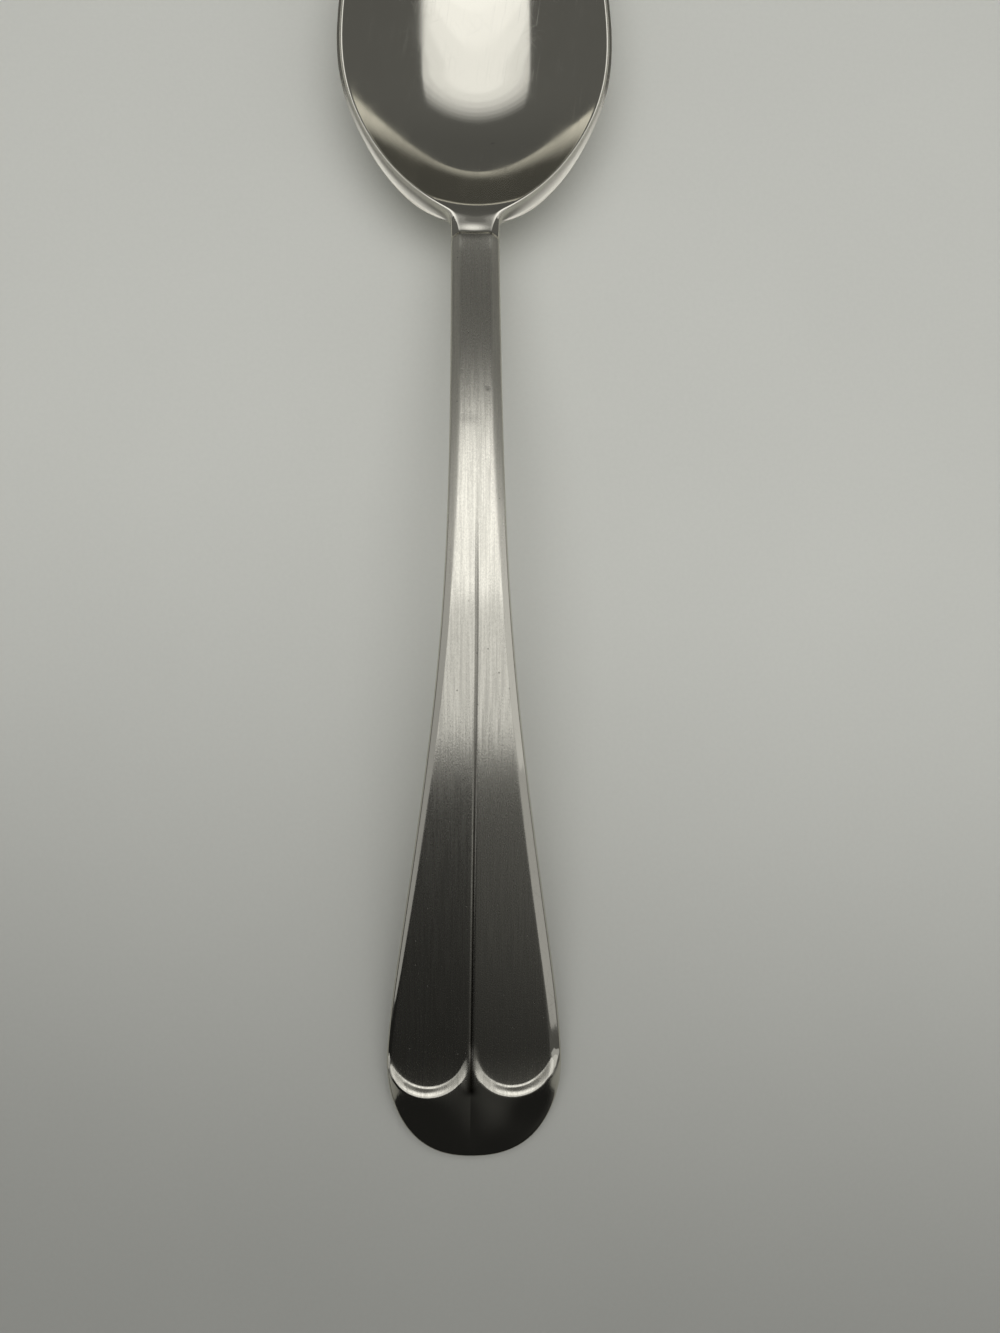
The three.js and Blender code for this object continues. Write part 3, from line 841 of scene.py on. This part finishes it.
def softbox(name, place, target, size, radiance):
    """A rectangular lamp at place, facing target. Its power is its radiance times pi times its area."""
    lamp = bpy.data.lights.new(name, "AREA")
    lamp.shape = "RECTANGLE"
    lamp.size, lamp.size_y = size
    lamp.energy = radiance * math.pi * size[0] * size[1]
    holder = bpy.data.objects.new(name, lamp)
    aim = np.array(target, float) - np.array(place, float)
    pitch = math.atan2(math.hypot(aim[0], aim[1]), -aim[2])
    turn = math.atan2(aim[0], -aim[1]) if pitch else 0
    holder.rotation_euler = (-pitch, 0, turn)
    holder.location = place
    bpy.context.scene.collection.objects.link(holder)


OVERHEAD = 0.3  # height of the main lamp
OVERHEAD_WIDTH = 0.45
OVERHEAD_NEAR = -0.197
OVERHEAD_SPLIT = -0.02  # where its dimmer near part ends
OVERHEAD_FADE = (0.15, 0.345)  # where the main lamp starts to fade, and where it ends
OVERHEAD_RADIANCE, OVERHEAD_NEAR_RADIANCE = 1.35, 0.85
FADE_STRIPS = 10
SIDE_LAMPS = (  # name, side, place along the spoon, length and radiance
    ("left", -1, -0.103, 0.466, 0.36),
    ("right", 1, -0.01, 0.32, 0.6),
    ("right_near", 1, -0.265, 0.19, 0.36),
)
SIDE_LAMP_ASIDE, SIDE_LAMP_HEIGHT, SIDE_LAMP_RISE = 0.33, 0.22, 0.25

# The dim room, by directions from its middle: x to the right, y away from the camera's side
ROOM_COLOUR = (1, 1, 0.96, 1)
NEAR_ROOM = (0.015, 0.1)  # strength on its left and on its right
FAR_ROOM = (0.13, 0.11)  # strength beside the spoon and at the far wall
ROOM_RIGHT_X, ROOM_RIGHT_Y = (-0.12, 0.16), (-0.82, -0.66)
ROOM_FAR_Y = (0.6, 0.95)
ROOM_NEAR_ENDS_Y = (-0.55, 0.1)


def make_lights():
    """One broad softbox over the spoon, in strips whose radiance eases to nothing towards its far side, and
    dim ones at the sides."""
    edges = np.linspace(*OVERHEAD_FADE, FADE_STRIPS + 1)
    strips = [
        (OVERHEAD_NEAR, OVERHEAD_SPLIT, OVERHEAD_NEAR_RADIANCE),
        (OVERHEAD_SPLIT, edges[0], OVERHEAD_RADIANCE),
    ]
    for near, far in zip(edges[:-1], edges[1:]):
        strips.append((near, far, OVERHEAD_RADIANCE * (1 - ease((near + far) / 2, *OVERHEAD_FADE))))
    for near, far, radiance in strips:
        middle = (near + far) / 2
        softbox("overhead", (0, middle, OVERHEAD), (0, middle, 0), (OVERHEAD_WIDTH, far - near), radiance)
    for name, side, along, length, radiance in SIDE_LAMPS:
        place = (side * SIDE_LAMP_ASIDE, along, SIDE_LAMP_HEIGHT)
        softbox(name, place, (0, along, 0), (length, SIDE_LAMP_RISE), radiance)


def make_room():
    """A dim room whose strength steps smoothly with the direction: dark on the near side, lighter to its
    right, and a little darker again at the far wall."""
    world = bpy.data.worlds.new("studio")
    world.use_nodes = True
    tree = world.node_tree
    direction = add_node(tree, "TexCoord").outputs["Generated"]
    split = add_node(tree, "SeparateXYZ", feeds={"Vector": direction}).outputs
    to_right = ranged(tree, split["X"], *ROOM_RIGHT_X)
    right = math_node(tree, "MULTIPLY", to_right, ranged(tree, split["Y"], *ROOM_RIGHT_Y))
    near = ranged(tree, right, 0, 1, *NEAR_ROOM)
    far = ranged(tree, split["Y"], *ROOM_FAR_Y, *FAR_ROOM)
    room = blended(tree, ranged(tree, split["Y"], *ROOM_NEAR_ENDS_Y), near, far)
    background = tree.nodes["Background"]
    background.inputs["Color"].default_value = ROOM_COLOUR
    tree.links.new(room, background.inputs["Strength"])
    bpy.context.scene.world = world


FOCAL = 1000 / 1333  # the picture's focal length over its height
SENSOR_HEIGHT = 36
CLIP_START = 0.005
CAMERA_AT = (-0.00227, -0.01883, 0.118)
CAMERA_LEAN = math.radians(2.594)


def make_camera():
    """A camera over the spoon that leans a little to one side, with the lens as the focal share of its
    sensor."""
    lens = bpy.data.cameras.new("camera")
    lens.sensor_fit = "VERTICAL"
    lens.sensor_height = SENSOR_HEIGHT
    lens.lens = SENSOR_HEIGHT * FOCAL
    lens.clip_start = CLIP_START
    camera = bpy.data.objects.new("camera", lens)
    camera.location = CAMERA_AT
    camera.rotation_euler = (0, -CAMERA_LEAN, 0)
    bpy.context.scene.collection.objects.link(camera)
    bpy.context.scene.camera = camera


make_camera()
skin = make_spoon()
skin.data.materials.append(steel())
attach(skin, "root")
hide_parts("teaspoon")
make_table()
make_lights()
make_room()
bpy.context.scene.view_settings.view_transform = "Standard"
